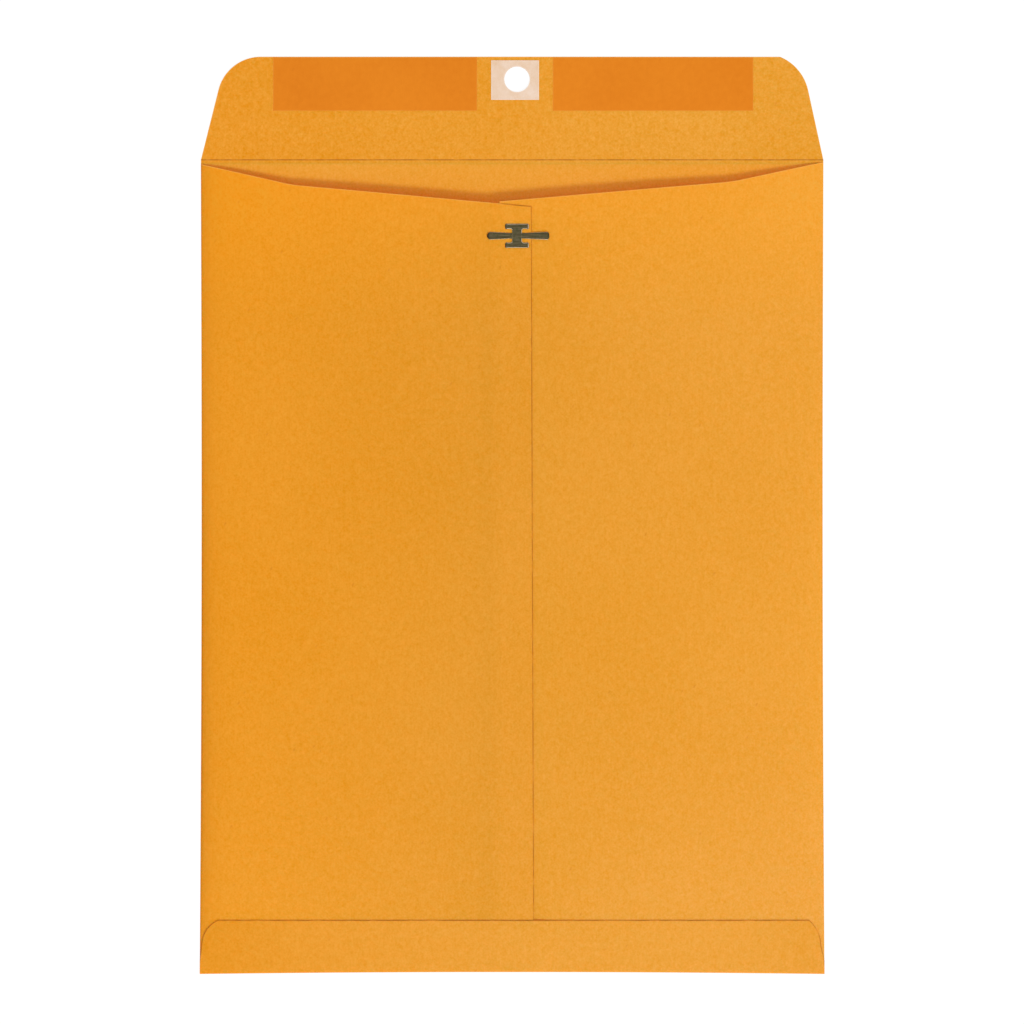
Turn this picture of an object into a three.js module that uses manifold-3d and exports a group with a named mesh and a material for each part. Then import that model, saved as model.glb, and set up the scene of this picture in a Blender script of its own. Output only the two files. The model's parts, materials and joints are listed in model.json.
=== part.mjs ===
// Clasp envelope with an open end, lying face down with its seal flap laid open.
// Millimetres: +X across, +Y from the bottom fold to the seal flap, +Z up from the table.
// The origin is on the table, under the middle of the opened envelope.

import * as THREE from 'three';
import { mergeVertices } from 'three/addons/utils/BufferGeometryUtils.js';
import Module from 'manifold-3d';

const wasm = await Module();
wasm.setup();

// Paper blank
const bodyWidth = 254;               // side fold to side fold
const bodyLength = 331.6;            // bottom fold to seal flap crease
const paperThickness = 0.2;
const foldDepth = 0.4;               // how far a side fold takes to turn
const foldSpace = 0.1;               // space left inside a pressed fold
const lapSpace = 0.1;                // space between glued sheets, which the glue fills
const sheetClearance = 0.05;         // paper to paper where the blank is parted at a fold
const creaseClearance = 0.1;         // seal flap to face panel

// Seal flap, measured from its crease
const flapDepth = 42.1;
const flapCornerDrop = 17.75;        // top edge down to the corner arcs' centres
const leftFlapRadius = 17.75;
const rightFlapRadius = 19.2;        // larger than its drop, so it meets the top edge at an angle
const leftFlapSlant = 0.25;          // sideways run of the slanted edge for each unit of depth
const rightFlapSlant = 0.218;

// Throat, measured down from the crease
const sideDrop = 1.5;                // at the side folds
const kinkFromSide = 39.3;           // side fold to the change of slope
const leftKinkDrop = 10.8;
const rightKinkDrop = 9.5;
const leftSeamDrop = 19.5;           // at the outer lap's free corner
const rightSeamDrop = 17.5;          // at the inner lap's free corner
const leftShoulder = 0.6;            // how far the edge dips below a straight line near the side
const rightShoulder = 0;

// Centre seam: the left panel laps over the right one
const seamTopX = 7.9;
const seamBottomX = 8.9;
const lapWidth = 13.4;               // at the throat
const lapRamp = 8;                   // length over which the outer lap climbs onto the inner one
const seamGlueWidth = 7;

// Bottom flap
const bottomFlapDepth = 21.9;
const bottomFoldDepth = 0.5;
const bottomSideRise = 5.7;          // fold up to where the flap's edge leaves the side
const bottomCornerDrop = 10.2;       // free edge down to the corner arcs' centres
const leftBottomRadius = 11.05;
const rightBottomRadius = 13.2;
const leftBottomInset = 0.7;         // side fold to the corner arc's outermost point
const rightBottomInset = 1.4;
const bottomGlueInset = 4;           // free edges to the glue line

// Pocket: how far the side panels stand off the face panel
const mouthRise = 4.3;
const middleRise = 5.4;
const bottomRiseLength = 100;        // the pocket opens over this length above the bottom fold
const mouthRiseLength = 120;         // and closes down to the mouth's rise over this length
const seatLength = 55;               // level length below the crease, where the clasp sits
const crownPower = 3;                // a higher power gives a flatter crown and steeper sides
const crownRound = 0.9;

// Gummed strips and hole patch on the flap's inner side
const gumThickness = 0.05;
const gumDepth = 21.9;
const gumEdge = 0.2;                 // flap's top edge to the gum
const leftGum = { from: -97.6, to: -14.3 };
const rightGum = { from: 16.6, to: 98.4 };
const patchThickness = 0.12;
const patchWidth = 19.5;
const patchDepth = 16.1;
const patchEdge = 1.5;               // flap's top edge to the patch
const patchX = 1.2;
const patchCorner = 0.6;

// Clasp, stamped from sheet metal
const claspX = 2;
const claspDrop = 31.5;              // crease to clasp centre
const holeAllowance = 1.4;           // the hole sits this much further, to wrap over the contents
const holeRadius = 5.2;
const claspThickness = 0.3;
const claspHeight = 9.7;
const claspWidth = 9.7;
const stemWidth = 3.95;
const barHeight = 2;
const notchRadius = 0.75;
const barFlare = 0.22;               // the bars widen by this much at their ends
const seatClearance = 0.04;          // clasp to the paper under it
const tangWidth = 1.6;
const tangPoint = 0.5;               // width of a tang's tip
const tangLength = 2.3;              // clinched leg under the paper
const tangBend = 0.4;                // outer radius of a tang's bends
const slitClearance = 0.1;
const clinchClearance = 0.05;        // clinched leg to the paper over it

// Prongs
const leftProngReach = 12.2;         // clasp centre to the tip when it lies open
const rightProngReach = 13.1;
const prongRootWidth = 1.9;
const prongTipWidth = 3;
const leftTipRadius = 1.45;
const rightTipRadius = 0.95;
const prongClearance = 0.06;         // prong root to stem

// Worked out from the sizes above
const halfWidth = bodyWidth / 2;
const foldY = -(bodyLength + flapDepth) / 2;
const creaseY = foldY + bodyLength;
const foldX = halfWidth - foldDepth;                        // where a side fold starts to turn
const panelBase = paperThickness + foldSpace;               // underside of a side panel at its fold
const lapStep = paperThickness + lapSpace;                  // one sheet and its glue
const innerLapX = seamTopX - lapWidth;
const panelStart = foldY + bottomFoldDepth + foldSpace;     // side panels' bottom ends
const flapStart = foldY + bottomFoldDepth;                  // bottom flap's turn ends here
const claspY = creaseY - claspDrop;
const holeDepth = claspDrop + holeAllowance;                // crease to hole centre
const claspSeat = panelBase + mouthRise + lapStep + paperThickness + seatClearance;
const stemEdge = stemWidth / 2;

const kraft = new THREE.MeshStandardMaterial({ color: 0xec9d30, roughness: 0.85, metalness: 0 });
const gum = new THREE.MeshStandardMaterial({ color: 0xe58223, roughness: 0.45, metalness: 0 });
const glue = new THREE.MeshStandardMaterial({ color: 0xe8dcc0, roughness: 0.5, metalness: 0 });
const patchPaper = new THREE.MeshStandardMaterial({ color: 0xeccdb2, roughness: 0.9, metalness: 0 });
const tinnedSteel = new THREE.MeshStandardMaterial({ color: 0x6a6452, roughness: 0.45, metalness: 0.9 });

// Solids in and out of the boolean library
function toSolid(geometry) {
  const bare = geometry.clone();
  bare.deleteAttribute('normal');
  bare.deleteAttribute('uv');
  const merged = mergeVertices(bare, 1e-5);
  return new wasm.Manifold(new wasm.Mesh({
    numProp: 3,
    vertProperties: new Float32Array(merged.attributes.position.array),
    triVerts: new Uint32Array(merged.index.array),
  }));
}

function toGeometry(solid) {
  const mesh = solid.getMesh();
  const geometry = new THREE.BufferGeometry();
  geometry.setAttribute('position', new THREE.BufferAttribute(new Float32Array(mesh.vertProperties), 3));
  geometry.setIndex(new THREE.BufferAttribute(new Uint32Array(mesh.triVerts), 1));
  geometry.computeVertexNormals();
  return geometry;
}

// A flat outline given a thickness, from z = bottom upwards
function plate(shape, bottom, thickness, curveSegments = 14) {
  const geometry = new THREE.ExtrudeGeometry(shape, { depth: thickness, bevelEnabled: false, curveSegments });
  return geometry.translate(0, 0, bottom);
}

function rectangle(x0, y0, x1, y1) {
  return new THREE.Shape([[x0, y0], [x1, y0], [x1, y1], [x0, y1]].map(([x, y]) => new THREE.Vector2(x, y)));
}

// A tall prism used to trim curved sheets to an outline
function cutter(shape) {
  const reach = 20;
  return toSolid(plate(shape, -reach, 2 * reach));
}

function meshOf(name, geometry, material) {
  const mesh = new THREE.Mesh(geometry, material);
  mesh.name = name;
  return mesh;
}

// A bent sheet. lattice[row][column] holds an inner and an outer point, with the outer side up
// where columns run along +X and rows along +Y.
function sheet(lattice) {
  const rows = lattice.length;
  const columns = lattice[0].length;
  const layer = rows * columns;
  const points = lattice.flat();
  const position = [...points.flatMap((p) => p.outer), ...points.flatMap((p) => p.inner)];
  const at = (row, column) => row * columns + column;
  const index = [];
  const quad = (a, b, c, d) => index.push(a, b, c, a, c, d);
  for (let row = 0; row + 1 < rows; row += 1) {
    for (let column = 0; column + 1 < columns; column += 1) {
      const [a, b] = [at(row, column), at(row, column + 1)];
      const [c, d] = [at(row + 1, column + 1), at(row + 1, column)];
      quad(a, b, c, d);
      index.push(layer + a, layer + c, layer + b, layer + a, layer + d, layer + c);
    }
  }
  for (let column = 0; column + 1 < columns; column += 1) {
    const [a, b] = [at(0, column), at(0, column + 1)];
    const [c, d] = [at(rows - 1, column), at(rows - 1, column + 1)];
    quad(layer + a, layer + b, b, a);
    quad(c, d, layer + d, layer + c);
  }
  for (let row = 0; row + 1 < rows; row += 1) {
    const [a, b] = [at(row, 0), at(row + 1, 0)];
    const [c, d] = [at(row, columns - 1), at(row + 1, columns - 1)];
    quad(a, b, layer + b, layer + a);
    quad(layer + c, layer + d, d, c);
  }
  const geometry = new THREE.BufferGeometry();
  geometry.setAttribute('position', new THREE.Float32BufferAttribute(position, 3));
  geometry.setIndex(index);
  return toSolid(geometry);
}

// Pocket surface, shared by every sheet of the back
function riseAlong(y) {
  const up = THREE.MathUtils.clamp((y - panelStart) / bottomRiseLength, 0, 1);
  const ease = THREE.MathUtils.smoothstep(y, creaseY - seatLength - mouthRiseLength, creaseY - seatLength);
  return Math.sin(up * Math.PI / 2) * THREE.MathUtils.lerp(middleRise, mouthRise, ease);
}

function pocketRise(x, y) {
  const across = Math.min(Math.abs(x) / foldX, 1);
  return riseAlong(y) * (1 - across ** crownPower) ** crownRound;
}

// The outer lap, and what lies on it, climbs by one sheet and its glue over the inner lap
const lapFrom = innerLapX - 0.5;
const lapTo = Math.max(seamTopX, seamBottomX) + 0.5;
function lapLift(x) {
  const up = THREE.MathUtils.smoothstep(x, lapFrom - lapRamp, lapFrom);
  const down = THREE.MathUtils.smoothstep(x, lapTo, lapTo + lapRamp);
  return lapStep * (up - down);
}

function evenSteps(from, to, count) {
  return Array.from({ length: count + 1 }, (_, step) => from + (to - from) * step / count);
}

// Every curved sheet uses these columns and rows, so that stacked sheets keep their distance
const nearFold = [0, 1.2, 3];        // extra columns where the sheet rises steeply
const columnsX = [...new Set([
  ...nearFold.map((inset) => inset - foldX),
  ...evenSteps(6 - foldX, lapFrom - lapRamp, 11),
  lapFrom - lapRamp / 2, lapFrom, (lapFrom + lapTo) / 2, lapTo, lapTo + lapRamp / 2,
  ...evenSteps(lapTo + lapRamp, foldX - 6, 11),
  ...nearFold.map((inset) => foldX - inset).reverse(),
])];
const rowsY = [...new Set([
  ...evenSteps(panelStart, panelStart + bottomFlapDepth + 2, 5),
  ...evenSteps(panelStart + bottomFlapDepth + 2, panelStart + bottomRiseLength, 6),
  ...evenSteps(panelStart + bottomRiseLength, creaseY - seatLength - mouthRiseLength, 1),
  ...evenSteps(creaseY - seatLength - mouthRiseLength, creaseY - seatLength, 8),
  creaseY - seatLength / 2,
  creaseY,
])];

// The surface at a height over the side panels' underside, with or without the lap's step
function layerAt(x, y, height, lifted) {
  return panelBase + height + pocketRise(x, y) + (lifted ? lapLift(x) : 0);
}

function layerPoint(x, y, height, thickness, lifted) {
  const low = layerAt(x, y, height, lifted);
  return { inner: [x, y, low], outer: [x, y, low + thickness] };
}

// One step round a pressed fold, from the face panel (angle -90) to the back (angle 90)
const foldAngles = evenSteps(-90, 90, 6).slice(0, -1);
function foldPoint(angle, depth, height) {
  const turn = THREE.MathUtils.degToRad(angle);
  const middle = height / 2;
  return {
    outer: [depth * Math.cos(turn), middle + middle * Math.sin(turn)],
    inner: [(depth - paperThickness) * Math.cos(turn), middle + (middle - paperThickness) * Math.sin(turn)],
  };
}

// A side panel: its fold, then the sheet that runs in to the centre seam
function sidePanel(side, inward, lifted) {
  const foldHeight = panelBase + paperThickness;
  const turn = foldAngles.map((angle) => foldPoint(angle, foldDepth, foldHeight));
  const flat = columnsX.filter((x) => (side < 0 ? x <= inward : x >= inward));
  const lattice = rowsY.map((y) => {
    const round = turn.map(({ outer, inner }) => ({
      outer: [side * (foldX + outer[0]), y, outer[1]],
      inner: [side * (foldX + inner[0]), y, inner[1]],
    }));
    const across = flat.map((x) => layerPoint(x, y, 0, paperThickness, lifted));
    return side < 0 ? [...round, ...across] : [...across, ...round.reverse()];
  });
  return sheet(lattice);
}

// Throat edge of one panel, as a path from its seam corner out to the side fold
function throatPath(shape, side, seamX, seamDrop, kinkDrop, shoulder) {
  const kinkX = side * (halfWidth - kinkFromSide);
  const soften = 6;                                         // length either side of the kink
  const inSlope = (seamDrop - kinkDrop) / Math.abs(seamX - kinkX);
  const outSlope = (kinkDrop - sideDrop) / kinkFromSide;
  shape.lineTo(seamX, creaseY - seamDrop);
  shape.lineTo(kinkX - side * soften, creaseY - kinkDrop - inSlope * soften);
  const outX = kinkX + side * soften;
  const outDrop = kinkDrop - outSlope * soften;
  shape.quadraticCurveTo(kinkX, creaseY - kinkDrop, outX, creaseY - outDrop);
  const midX = (outX + side * halfWidth) / 2;
  const midDrop = (outDrop + sideDrop) / 2 + 2 * shoulder;
  shape.quadraticCurveTo(midX, creaseY - midDrop, side * halfWidth, creaseY - sideDrop);
}

function leftPanelOutline() {
  const shape = new THREE.Shape();
  shape.moveTo(-halfWidth - 1, foldY);
  shape.lineTo(seamBottomX, foldY);
  throatPath(shape, -1, seamTopX, leftSeamDrop, leftKinkDrop, leftShoulder);
  shape.lineTo(-halfWidth - 1, creaseY - sideDrop);
  return shape;
}

function rightPanelOutline() {
  const shape = new THREE.Shape();
  shape.moveTo(halfWidth + 1, foldY);
  shape.lineTo(innerLapX, foldY);
  throatPath(shape, 1, innerLapX, rightSeamDrop, rightKinkDrop, rightShoulder);
  shape.lineTo(halfWidth + 1, creaseY - sideDrop);
  return shape;
}

// Slits that the tangs pass through, one pair above and one below the stem
const barY = claspHeight / 2 - barHeight / 2;
function tangPlaces() {
  return [-1, 1].flatMap((side) => [-1, 1].map((row) => ({ side, row })));
}

function slits() {
  const outer = claspWidth / 2 + slitClearance;
  const inner = claspWidth / 2 - claspThickness - slitClearance;
  const half = tangWidth / 2 + slitClearance;
  return tangPlaces().map(({ side, row }) => {
    const xs = [claspX + side * inner, claspX + side * outer].sort((a, b) => a - b);
    const y = claspY + row * barY;
    return cutter(rectangle(xs[0], y - half, xs[1], y + half));
  });
}

function cutSlits(panel) {
  return slits().reduce((solid, slit) => solid.subtract(slit), panel);
}

function facePanel() {
  const side = foldX - sheetClearance;
  const neck = creaseY - sideDrop + sheetClearance;         // above this the sheet reaches the fold line
  const bottom = flapStart + sheetClearance;
  const shape = new THREE.Shape();
  shape.moveTo(-side, bottom);
  shape.lineTo(side, bottom);
  shape.lineTo(side, neck);
  shape.lineTo(halfWidth, neck);
  shape.lineTo(halfWidth, creaseY);
  shape.lineTo(-halfWidth, creaseY);
  shape.lineTo(-halfWidth, neck);
  shape.lineTo(-side, neck);
  shape.closePath();
  return plate(shape, 0, paperThickness);
}

// Bottom flap: its fold, then the sheet that runs up over both side panels
function bottomFlapSheet() {
  const base = paperThickness + lapSpace;                   // over the side panels' underside
  const xs = [-halfWidth, ...columnsX, halfWidth];
  const foldRows = foldAngles.map((angle) => xs.map((x) => {
    const height = layerAt(x, flapStart, base, true) + paperThickness;
    const { outer, inner } = foldPoint(angle, bottomFoldDepth, height);
    return {
      outer: [x, flapStart - outer[0], outer[1]],
      inner: [x, flapStart - inner[0], inner[1]],
    };
  }));
  const top = foldY + bottomFlapDepth;
  const lengthRows = [flapStart, ...rowsY.filter((y) => y < top + bottomFlapDepth / 4)];
  const flatRows = lengthRows.map((y) => xs.map((x) => layerPoint(x, y, base, paperThickness, true)));
  return sheet([...foldRows, ...flatRows]);
}

function bottomCorner(shape, side, radius, inset, top) {
  const centreX = side * (halfWidth - inset - radius);
  const centreY = top - bottomCornerDrop;
  const lift = Math.asin(Math.min(bottomCornerDrop / radius, 1));
  const sideY = foldY + bottomSideRise;
  const start = side > 0 ? 0 : Math.PI - lift;
  const end = side > 0 ? lift : Math.PI;
  if (side > 0) {
    shape.lineTo(halfWidth, sideY);
    shape.absarc(centreX, centreY, radius, start, end, false);
  } else {
    shape.absarc(centreX, centreY, radius, start, end, false);
    shape.lineTo(-halfWidth, sideY);
  }
}

function bottomFlapOutline() {
  const top = foldY + bottomFlapDepth;
  const shape = new THREE.Shape();
  shape.moveTo(-halfWidth, foldY - 1);
  shape.lineTo(halfWidth, foldY - 1);
  bottomCorner(shape, 1, rightBottomRadius, rightBottomInset, top);
  bottomCorner(shape, -1, leftBottomRadius, leftBottomInset, top);
  shape.closePath();
  return shape;
}

// Glue fills most of the space between two sheets
const glueThickness = lapSpace * 0.6;
const glueStart = paperThickness + (lapSpace - glueThickness) / 2;
function glueLine(outline, lifted) {
  const lattice = rowsY.map((y) => columnsX.map((x) => (
    layerPoint(x, y, glueStart, glueThickness, lifted)
  )));
  return toGeometry(sheet(lattice).intersect(cutter(outline)));
}

// The seam's glue runs between the clasp's tangs
function seamGlueOutline() {
  const half = Math.min(seamGlueWidth, claspWidth - 2 * (claspThickness + slitClearance) - 1) / 2;
  return rectangle(claspX - half, panelStart, claspX + half, creaseY - leftSeamDrop - 1);
}

function bottomGlueOutline() {
  const top = foldY + bottomFlapDepth - bottomGlueInset;
  const side = halfWidth - bottomCornerDrop - bottomGlueInset;
  return rectangle(-side, panelStart + bottomGlueInset, side, top);
}

// Seal flap, with its crease on the X axis and its inner side at z = 0
function hole() {
  const path = new THREE.Path();
  path.absarc(claspX, holeDepth, holeRadius, 0, 2 * Math.PI, true);
  return path;
}

function sealFlapShape() {
  const centreY = flapDepth - flapCornerDrop;
  const reach = (radius, slant) => slant * centreY + radius * Math.hypot(1, slant);
  const leftX = -halfWidth + reach(leftFlapRadius, leftFlapSlant);
  const rightX = halfWidth - reach(rightFlapRadius, rightFlapSlant);
  const topAngle = (radius) => Math.asin(Math.min(flapCornerDrop / radius, 1));
  const shape = new THREE.Shape();
  shape.moveTo(-halfWidth + leftFlapSlant * creaseClearance, creaseClearance);
  shape.lineTo(halfWidth - rightFlapSlant * creaseClearance, creaseClearance);
  shape.absarc(
    rightX, centreY, rightFlapRadius, Math.atan(rightFlapSlant), topAngle(rightFlapRadius), false,
  );
  shape.absarc(
    leftX, centreY, leftFlapRadius,
    Math.PI - topAngle(leftFlapRadius), Math.PI - Math.atan(leftFlapSlant), false,
  );
  shape.closePath();
  shape.holes.push(hole());
  return shape;
}

function roundedRectangle(x0, y0, x1, y1, radius) {
  const shape = new THREE.Shape();
  shape.absarc(x1 - radius, y0 + radius, radius, -Math.PI / 2, 0, false);
  shape.absarc(x1 - radius, y1 - radius, radius, 0, Math.PI / 2, false);
  shape.absarc(x0 + radius, y1 - radius, radius, Math.PI / 2, Math.PI, false);
  shape.absarc(x0 + radius, y0 + radius, radius, Math.PI, Math.PI * 1.5, false);
  shape.closePath();
  return shape;
}

function gumStrip({ from, to }) {
  const top = flapDepth - gumEdge;
  return plate(rectangle(from, top - gumDepth, to, top), 0, gumThickness);
}

function holePatch() {
  const top = flapDepth - patchEdge;
  const half = patchWidth / 2;
  const shape = roundedRectangle(patchX - half, top - patchDepth, patchX + half, top, patchCorner);
  shape.holes.push(hole());
  return plate(shape, 0, patchThickness, 8);
}

// Clasp base: an I of sheet metal whose four ends turn down through the paper.
// Its own frame has the clasp's centre at x = y = 0 and the seated side at z = 0.
function claspPlateShape() {
  const halfH = claspHeight / 2;
  const barEnd = claspWidth / 2 - tangBend;
  const barInner = halfH - barHeight;
  const corner = Math.min(notchRadius, barInner / 2);
  const quarter = [
    [stemEdge, 0],
    ...evenSteps(0, 90, 4).map((angle) => {
      const turn = THREE.MathUtils.degToRad(angle);
      return [stemEdge + corner - corner * Math.cos(turn), barInner - corner + corner * Math.sin(turn)];
    }),
    [barEnd - barFlare * 3, barInner],
    [barEnd, barInner - barFlare],
    [barEnd, halfH + barFlare / 2],
    [barEnd - barFlare * 3, halfH],
  ];
  const right = [...quarter.slice(1).map(([x, y]) => [x, -y]).reverse(), ...quarter];
  const left = right.map(([x, y]) => [-x, y]).reverse();
  return new THREE.Shape([...right, ...left].map(([x, y]) => new THREE.Vector2(x, y)));
}

// Side view of one tang: along the bar, down through both laps, then back under them
function tangProfile() {
  const end = claspWidth / 2;
  const legTop = -(seatClearance + 2 * paperThickness + lapSpace + clinchClearance);
  const legBottom = legTop - claspThickness;
  const overlap = end - tangBend - 1;
  const inner = Math.max(tangBend - claspThickness, 0.05);
  const shape = new THREE.Shape();
  shape.moveTo(overlap, 0);
  shape.absarc(end - tangBend, -inner, inner, Math.PI / 2, 0, true);
  shape.absarc(end - tangBend, legTop + inner, inner, 0, -Math.PI / 2, true);
  shape.lineTo(end - tangBend - tangLength, legTop);
  shape.lineTo(end - tangBend - tangLength, legBottom);
  shape.absarc(end - tangBend, legBottom + tangBend, tangBend, -Math.PI / 2, 0, false);
  shape.absarc(end - tangBend, claspThickness - tangBend, tangBend, 0, Math.PI / 2, false);
  shape.lineTo(overlap, claspThickness);
  shape.closePath();
  return shape;
}

function tangPlan() {
  const end = claspWidth / 2 + 1;
  const shoulder = claspWidth / 2 - claspThickness - tangBend;
  const tip = claspWidth / 2 - tangBend - tangLength;
  const half = tangWidth / 2;
  const points = [[end, -half], [end, half], [shoulder, half], [tip, tangPoint / 2],
    [tip, -tangPoint / 2], [shoulder, -half]];
  return new THREE.Shape(points.map(([x, y]) => new THREE.Vector2(x, y)));
}

function claspBase() {
  const extrusion = { depth: tangWidth, bevelEnabled: false, curveSegments: 4 };
  const side = new THREE.ExtrudeGeometry(tangProfile(), extrusion)
    .translate(0, 0, -tangWidth / 2).rotateX(Math.PI / 2);
  const tang = toSolid(side).intersect(cutter(tangPlan()));
  const bar = toSolid(plate(claspPlateShape(), 0, claspThickness));
  return toGeometry(tangPlaces().reduce((solid, { side: turn, row }) => (
    solid.add(tang.rotate([0, 0, turn < 0 ? 180 : 0]).translate([0, row * barY, 0]))
  ), bar));
}

// A prong points along +X from its bend line, with its upper side at z = 0
function prongShape(reach, tipRadius) {
  const length = reach - stemEdge;
  const root = prongRootWidth / 2;
  const tip = prongTipWidth / 2;
  const radius = Math.min(tipRadius, tip);
  const shape = new THREE.Shape();
  shape.moveTo(prongClearance, -root);
  shape.lineTo(length - radius, -tip);
  shape.absarc(length - radius, -tip + radius, radius, -Math.PI / 2, 0, false);
  shape.absarc(length - radius, tip - radius, radius, 0, Math.PI / 2, false);
  shape.lineTo(prongClearance, root);
  shape.closePath();
  return shape;
}

function prong(reach, tipRadius) {
  return plate(prongShape(reach, tipRadius), -claspThickness, claspThickness, 6);
}

// Assembly
const envelope = new THREE.Group();

const leftPanel = cutSlits(sidePanel(-1, lapTo, true).intersect(cutter(leftPanelOutline())));
const rightPanel = cutSlits(sidePanel(1, lapFrom, false).intersect(cutter(rightPanelOutline())));
const bottomFlap = bottomFlapSheet().intersect(cutter(bottomFlapOutline()));

envelope.add(
  meshOf('face_panel', facePanel(), kraft),
  meshOf('left_side_panel', toGeometry(leftPanel), kraft),
  meshOf('right_side_panel', toGeometry(rightPanel), kraft),
  meshOf('bottom_flap', toGeometry(bottomFlap), kraft),
  meshOf('center_seam_glue', glueLine(seamGlueOutline(), false), glue),
  meshOf('bottom_flap_glue', glueLine(bottomGlueOutline(), true), glue),
);

const clasp = new THREE.Group();
clasp.position.set(claspX, claspY, claspSeat);
clasp.add(meshOf('clasp_base', claspBase(), tinnedSteel));
envelope.add(clasp);

for (const [name, side, reach, tipRadius] of [
  ['left_prong', -1, leftProngReach, leftTipRadius],
  ['right_prong', 1, rightProngReach, rightTipRadius],
]) {
  const mesh = meshOf(name, prong(reach, tipRadius), tinnedSteel);
  mesh.position.set(side * stemEdge, 0, claspThickness);
  mesh.rotation.z = side < 0 ? Math.PI : 0;
  clasp.add(mesh);
}

const sealFlap = new THREE.Group();
sealFlap.position.set(0, creaseY, paperThickness);
sealFlap.add(
  meshOf('seal_flap', plate(sealFlapShape(), -paperThickness, paperThickness, 24), kraft),
  meshOf('left_gum_strip', gumStrip(leftGum), gum),
  meshOf('right_gum_strip', gumStrip(rightGum), gum),
  meshOf('hole_patch', holePatch(), patchPaper),
);
envelope.add(sealFlap);

export default envelope;
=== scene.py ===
import json
import math

import bmesh
import bpy
import numpy as np
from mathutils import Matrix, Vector


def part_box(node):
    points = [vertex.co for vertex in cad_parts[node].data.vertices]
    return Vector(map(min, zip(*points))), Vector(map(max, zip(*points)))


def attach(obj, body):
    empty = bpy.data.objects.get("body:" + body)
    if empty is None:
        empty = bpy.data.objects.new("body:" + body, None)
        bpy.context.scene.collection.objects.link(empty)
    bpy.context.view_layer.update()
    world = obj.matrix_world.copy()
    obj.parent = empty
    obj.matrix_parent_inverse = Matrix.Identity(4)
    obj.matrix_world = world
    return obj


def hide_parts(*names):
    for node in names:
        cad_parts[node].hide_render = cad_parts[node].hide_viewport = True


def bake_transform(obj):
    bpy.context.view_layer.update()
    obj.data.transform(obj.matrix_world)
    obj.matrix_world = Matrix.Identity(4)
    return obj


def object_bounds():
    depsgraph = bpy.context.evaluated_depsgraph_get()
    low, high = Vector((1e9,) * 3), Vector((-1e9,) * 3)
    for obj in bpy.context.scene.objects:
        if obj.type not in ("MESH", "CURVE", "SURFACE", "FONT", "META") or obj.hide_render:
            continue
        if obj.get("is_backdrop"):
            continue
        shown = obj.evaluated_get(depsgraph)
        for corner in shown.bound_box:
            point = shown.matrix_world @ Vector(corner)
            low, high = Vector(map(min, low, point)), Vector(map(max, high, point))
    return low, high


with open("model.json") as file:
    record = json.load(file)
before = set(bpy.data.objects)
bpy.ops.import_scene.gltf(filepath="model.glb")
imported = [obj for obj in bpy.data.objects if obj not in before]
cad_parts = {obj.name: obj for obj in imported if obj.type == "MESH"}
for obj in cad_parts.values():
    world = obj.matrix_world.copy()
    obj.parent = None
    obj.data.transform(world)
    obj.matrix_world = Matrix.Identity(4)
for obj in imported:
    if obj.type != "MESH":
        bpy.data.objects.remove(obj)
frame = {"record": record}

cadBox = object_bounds()
scene = bpy.context.scene
mm = 0.001


def lengths(**sizes):
    return {label: size * mm for label, size in sizes.items()}


# Places that come from the frame
hinges = {joint["name"]: joint["pos_m"] for joint in frame["record"]["behaviour"]["joints"]}
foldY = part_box("bottom_flap")[0].y  # bottom fold
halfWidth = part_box("bottom_flap")[1].x
creaseY = hinges["flap_fold"][1]  # seal flap's crease
stemSides = hinges["left_prong_bend"][0], hinges["right_prong_bend"][0]
claspX = (stemSides[0] + stemSides[1]) / 2
claspY = hinges["left_prong_bend"][1]
claspTop = hinges["left_prong_bend"][2]  # upper side of the clasp's plate

# The paper and its folds
paper = {
    "thickness": 0.2 * mm,
    "foldDepth": 0.4 * mm,  # how far a side fold takes to turn
    "bottomFoldDepth": 0.5 * mm,
    "foldSpace": 0.1 * mm,  # space inside a pressed fold
    "lapSpace": 0.1 * mm,  # space that the glue fills
    "foldSteps": 10,
    "cell": 2.4 * mm,  # mesh cell away from the edges
    "edgeCells": (0.15 * mm, 0.45 * mm, 1.1 * mm),
    "rowGap": 0.04 * mm,  # mesh rows are no closer than this
}

# How the side panels stand off the face panel
pocket = {
    "Middle Rise": 5.4 * mm, "Mouth Rise": 4.3 * mm, "Bottom Length": 100 * mm,
    "Crown Power": 3.0,
    "Body Round": 0.5,  # fuller towards the side folds, below the mouth
    "Wave Height": 0.5 * mm, "Wave Size": 75 * mm, "Seed": 3.0,
    "Side Draw": 0.004,  # share of the width that a full pocket draws in
    "Bottom Draw": 0.8 * mm, "Bottom Draw Length": 26 * mm,
}
mouth = {"seatLength": 55 * mm, "riseLength": 120 * mm, "round": 0.84, "leftRound": 0.68, "rightRound": 0.88}

# The left side panel laps over the right one
seam = {
    "topX": 7.9 * mm, "bottomX": 8.9 * mm, "lapWidth": 13.4 * mm,
    "ramp": 8 * mm,  # the outer lap climbs onto the inner one over this length
    "rampMargin": 0.5 * mm,
    "lieLength": 4 * mm,  # its throat edge comes to lie on the inner lap over this
}

# Throat edges, measured down from the crease
throat = {
    "sideDrop": 1.5 * mm,  # where the fold itself ends
    "left": lengths(side=1.9, kink=10.61, seam=19.5, kinkFromSide=37.6, soften=2.5),
    "right": lengths(side=1.0, kink=9.25, seam=17.5, kinkFromSide=37.4, soften=4.5),
}

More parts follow.
